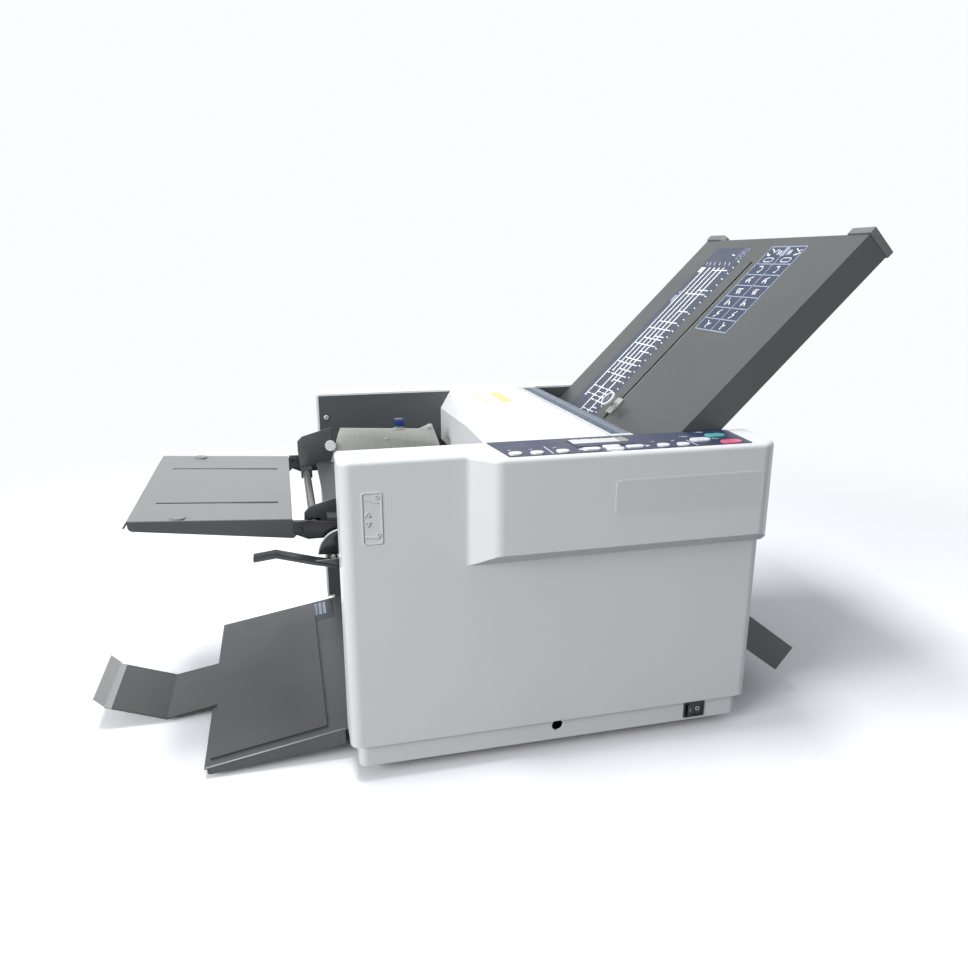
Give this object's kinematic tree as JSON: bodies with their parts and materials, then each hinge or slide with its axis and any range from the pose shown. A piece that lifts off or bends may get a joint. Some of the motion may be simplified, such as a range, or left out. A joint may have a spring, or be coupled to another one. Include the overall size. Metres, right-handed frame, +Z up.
{
  "type": "paper folding machine",
  "caption": "Desktop buckle-plate paper folding machine with fold-up feed table, inclined fold plate, lower fold plate, roller train and delivery tray.",
  "frame": {"origin": "centre of the footprint box at the table surface", "axes": "+X to the fold plates, +Y to the rear housing, +Z up"},
  "size_m": [0.9284, 0.493, 0.5812],
  "materials": {
    "housing_white": "satin moulded, fine texture",
    "frame_grey": "satin paint",
    "plate_grey": "satin grey paint",
    "cap_grey": "matte",
    "dark_metal": "matte black paint",
    "bright_steel": "fine brushed",
    "foot_rubber": "matte",
    "roller_rubber": "ground",
    "motor_black": "painted",
    "belt_black": "matte",
    "panel_navy": "satin overlay",
    "board_green": "lacquered",
    "ruler_blue": "ribbed",
    "switch_black": "satin",
    "key_white": "gloss",
    "key_teal": "gloss",
    "key_red": "gloss",
    "knob_white": "gloss",
    "knob_blue": "gloss",
    "bearing_steel": "turned"
  },
  "bodies": {
    "chassis": {"front_cover": "housing_white", "rear_cover": "housing_white", "right_end_cover": "plate_grey", "front_side_frame": "frame_grey", "rear_side_frame": "frame_grey", "base_plate": "dark_metal", "feet": "foot_rubber", "cross_bars": "bright_steel", "frame_fasteners": "bright_steel", "ruler_strip": "ruler_blue", "control_panel": "panel_navy", "circuit_boards": "board_green", "switch_bezel": "switch_black", "mains_inlet": "switch_black", "roller_bearings": "bearing_steel", "drive_motor": "motor_black", "drive_belts": "belt_black", "exit_chute": "frame_grey", "exit_tray": "frame_grey", "feed_brackets": "dark_metal", "separator_pad": "dark_metal"},
    "top_cover": {"top_cover": "housing_white"},
    "feed_table": {"feed_table": "plate_grey"},
    "lift_plate": {"lift_plate": "plate_grey"},
    "feed_lever": {"feed_lever": "dark_metal"},
    "front_guide": {"front_guide": "dark_metal", "front_guide_plate": "bright_steel"},
    "front_guide_knob": {"front_guide_knob": "knob_blue"},
    "rear_guide": {"rear_guide": "dark_metal", "rear_guide_plate": "bright_steel"},
    "rear_guide_knob": {"rear_guide_knob": "knob_blue"},
    "feed_roller": {"feed_roller": "roller_rubber"},
    "fold_roller_1": {"fold_roller_1": "roller_rubber"},
    "fold_roller_2": {"fold_roller_2": "roller_rubber"},
    "fold_roller_3": {"fold_roller_3": "roller_rubber"},
    "fold_roller_4": {"fold_roller_4": "roller_rubber"},
    "motor_pulley": {"motor_pulley": "bright_steel"},
    "exit_roller": {"exit_roller": "roller_rubber"},
    "exit_idlers": {"exit_idlers": "roller_rubber"},
    "tray_extension": {"tray_extension": "plate_grey"},
    "fold_plate_1": {"fold_plate_1": "plate_grey", "fold_plate_1_caps": "cap_grey"},
    "fold_stop_1": {"fold_stop_1": "bright_steel"},
    "stop_knob_1": {"stop_knob_1": "knob_white"},
    "fold_plate_2": {"fold_plate_2": "plate_grey"},
    "fold_stop_2": {"fold_stop_2": "bright_steel"},
    "stop_knob_2": {"stop_knob_2": "knob_white"},
    "power_rocker": {"power_rocker": "switch_black"},
    "preset_key": {"preset_key": "key_white"},
    "count_key": {"count_key": "key_white"},
    "test_key": {"test_key": "key_white"},
    "left_key": {"left_key": "key_white"},
    "up_key": {"up_key": "key_white"},
    "down_key": {"down_key": "key_white"},
    "right_key": {"right_key": "key_white"},
    "slower_key": {"slower_key": "key_white"},
    "faster_key": {"faster_key": "key_white"},
    "clear_key": {"clear_key": "key_white"},
    "start_key": {"start_key": "key_teal"},
    "stop_key": {"stop_key": "key_red"}
  },
  "joints": [
    {"name": "top_cover_hinge", "type": "hinge", "parent": "chassis", "child": "top_cover", "pos_m": [0.12632, 0.012, 0.354], "axis": [0, 1, 0], "range_deg": [0, 75]},
    {"name": "feed_table_fold", "type": "hinge", "parent": "chassis", "child": "feed_table", "pos_m": [-0.21418, 0.012, 0.271], "axis": [0, 1, 0], "range_deg": [0, 75]},
    {"name": "lift_plate_tilt", "type": "hinge", "parent": "chassis", "child": "lift_plate", "pos_m": [-0.17818, 0.012, 0.266], "axis": [0, 1, 0], "range_deg": [0, 8]},
    {"name": "feed_lever_pivot", "type": "hinge", "parent": "chassis", "child": "feed_lever", "pos_m": [-0.16617, 0.012, 0.237], "axis": [0, 1, 0], "range_deg": [0, 46]},
    {"name": "front_guide_slide", "type": "slide", "parent": "chassis", "child": "front_guide", "axis": [0, 1, 0], "range_m": [-0.022, 0.06]},
    {"name": "rear_guide_slide", "type": "slide", "parent": "chassis", "child": "rear_guide", "axis": [0, 1, 0], "range_m": [-0.06, 0.022]},
    {"name": "front_guide_knob_turn", "type": "hinge", "parent": "front_guide", "child": "front_guide_knob", "pos_m": [-0.06517, -0.11, 0.325], "axis": [0, 1, 0], "range_deg": [0, 90]},
    {"name": "rear_guide_knob_turn", "type": "hinge", "parent": "rear_guide", "child": "rear_guide_knob", "pos_m": [-0.06517, 0.1215, 0.325], "axis": [0, 1, 0], "range_deg": [0, 90]},
    {"name": "fold_roller_2_spin", "type": "hinge", "parent": "chassis", "child": "fold_roller_2", "pos_m": [0.12283, 0.012, 0.243], "axis": [0, 1, 0], "continuous": true},
    {"name": "fold_roller_1_spin", "type": "hinge", "parent": "chassis", "child": "fold_roller_1", "pos_m": [0.10762, 0.012, 0.26933], "axis": [0, 1, 0], "continuous": true},
    {"name": "fold_roller_3_spin", "type": "hinge", "parent": "chassis", "child": "fold_roller_3", "pos_m": [0.14915, 0.012, 0.2582], "axis": [0, 1, 0], "continuous": true},
    {"name": "fold_roller_4_spin", "type": "hinge", "parent": "chassis", "child": "fold_roller_4", "pos_m": [0.13803, 0.012, 0.21667], "axis": [0, 1, 0], "continuous": true},
    {"name": "motor_spin", "type": "hinge", "parent": "chassis", "child": "motor_pulley", "pos_m": [0.09083, 0.012, 0.095], "axis": [0, 1, 0], "continuous": true},
    {"name": "feed_roller_spin", "type": "hinge", "parent": "chassis", "child": "feed_roller", "pos_m": [0.03182, 0.012, 0.2968], "axis": [0, 1, 0], "continuous": true},
    {"name": "exit_roller_spin", "type": "hinge", "parent": "chassis", "child": "exit_roller", "pos_m": [-0.12918, 0.012, 0.066], "axis": [0, 1, 0], "continuous": true},
    {"name": "exit_idlers_spin", "type": "hinge", "parent": "chassis", "child": "exit_idlers", "pos_m": [-0.12918, 0.012, 0.0906], "axis": [0, 1, 0], "continuous": true},
    {"name": "tray_extension_slide", "type": "slide", "parent": "chassis", "child": "tray_extension", "axis": [0.9858, 0, 0.168], "range_m": [0, 0.1]},
    {"name": "fold_plate_1_pull", "type": "slide", "parent": "chassis", "child": "fold_plate_1", "axis": [0.7091, 0, 0.7051], "range_m": [0, 0.12]},
    {"name": "fold_stop_1_slide", "type": "slide", "parent": "fold_plate_1", "child": "fold_stop_1", "axis": [0.7091, 0, 0.7051], "range_m": [-0.008, 0.25]},
    {"name": "stop_knob_1_turn", "type": "hinge", "parent": "fold_stop_1", "child": "stop_knob_1", "pos_m": [0.20869, 0.0145, 0.35906], "axis": [-0.7051, 0, 0.7091], "range_deg": [0, 90]},
    {"name": "fold_plate_2_pull", "type": "slide", "parent": "chassis", "child": "fold_plate_2", "axis": [0.7923, 0, -0.6101], "range_m": [0, 0.05]},
    {"name": "fold_stop_2_slide", "type": "slide", "parent": "fold_plate_2", "child": "fold_stop_2", "axis": [0.7923, 0, -0.6101], "range_m": [-0.034, 0.16]},
    {"name": "stop_knob_2_turn", "type": "hinge", "parent": "fold_stop_2", "child": "stop_knob_2", "pos_m": [0.24196, 0.0145, 0.1884], "axis": [0.6101, 0, 0.7923], "range_deg": [0, 90]},
    {"name": "power_rocker_rock", "type": "hinge", "parent": "chassis", "child": "power_rocker", "pos_m": [0.23053, -0.2077, 0.0288], "axis": [0, 0, 1], "range_deg": [-12, 0]},
    {"name": "preset_key_press", "type": "slide", "parent": "chassis", "child": "preset_key", "axis": [0, 0, -1], "range_m": [0, 0.001], "stiffness_N_per_m": 400},
    {"name": "count_key_press", "type": "slide", "parent": "chassis", "child": "count_key", "axis": [0, 0, -1], "range_m": [0, 0.001], "stiffness_N_per_m": 400},
    {"name": "test_key_press", "type": "slide", "parent": "chassis", "child": "test_key", "axis": [0, 0, -1], "range_m": [0, 0.001], "stiffness_N_per_m": 400},
    {"name": "left_key_press", "type": "slide", "parent": "chassis", "child": "left_key", "axis": [0, 0, -1], "range_m": [0, 0.001], "stiffness_N_per_m": 400},
    {"name": "up_key_press", "type": "slide", "parent": "chassis", "child": "up_key", "axis": [0, 0, -1], "range_m": [0, 0.001], "stiffness_N_per_m": 400},
    {"name": "down_key_press", "type": "slide", "parent": "chassis", "child": "down_key", "axis": [0, 0, -1], "range_m": [0, 0.001], "stiffness_N_per_m": 400},
    {"name": "right_key_press", "type": "slide", "parent": "chassis", "child": "right_key", "axis": [0, 0, -1], "range_m": [0, 0.001], "stiffness_N_per_m": 400},
    {"name": "slower_key_press", "type": "slide", "parent": "chassis", "child": "slower_key", "axis": [0, 0, -1], "range_m": [0, 0.001], "stiffness_N_per_m": 400},
    {"name": "faster_key_press", "type": "slide", "parent": "chassis", "child": "faster_key", "axis": [0, 0, -1], "range_m": [0, 0.001], "stiffness_N_per_m": 400},
    {"name": "clear_key_press", "type": "slide", "parent": "chassis", "child": "clear_key", "axis": [0, 0, -1], "range_m": [0, 0.001], "stiffness_N_per_m": 400},
    {"name": "start_key_press", "type": "slide", "parent": "chassis", "child": "start_key", "axis": [0, 0, -1], "range_m": [0, 0.001], "stiffness_N_per_m": 400},
    {"name": "stop_key_press", "type": "slide", "parent": "chassis", "child": "stop_key", "axis": [0, 0, -1], "range_m": [0, 0.001], "stiffness_N_per_m": 400}
  ],
  "couplings": [
    {"joint": "feed_lever_pivot", "follows": "lift_plate_tilt", "ratio": 5.625},
    {"joint": "fold_roller_1_spin", "follows": "fold_roller_2_spin", "ratio": -1},
    {"joint": "fold_roller_3_spin", "follows": "fold_roller_2_spin", "ratio": -1},
    {"joint": "fold_roller_4_spin", "follows": "fold_roller_2_spin", "ratio": -1},
    {"joint": "motor_spin", "follows": "fold_roller_2_spin", "ratio": 2.8},
    {"joint": "feed_roller_spin", "follows": "fold_roller_2_spin", "ratio": -0.83333},
    {"joint": "exit_roller_spin", "follows": "fold_roller_2_spin", "ratio": -1},
    {"joint": "exit_idlers_spin", "follows": "fold_roller_2_spin", "ratio": 1}
  ]
}
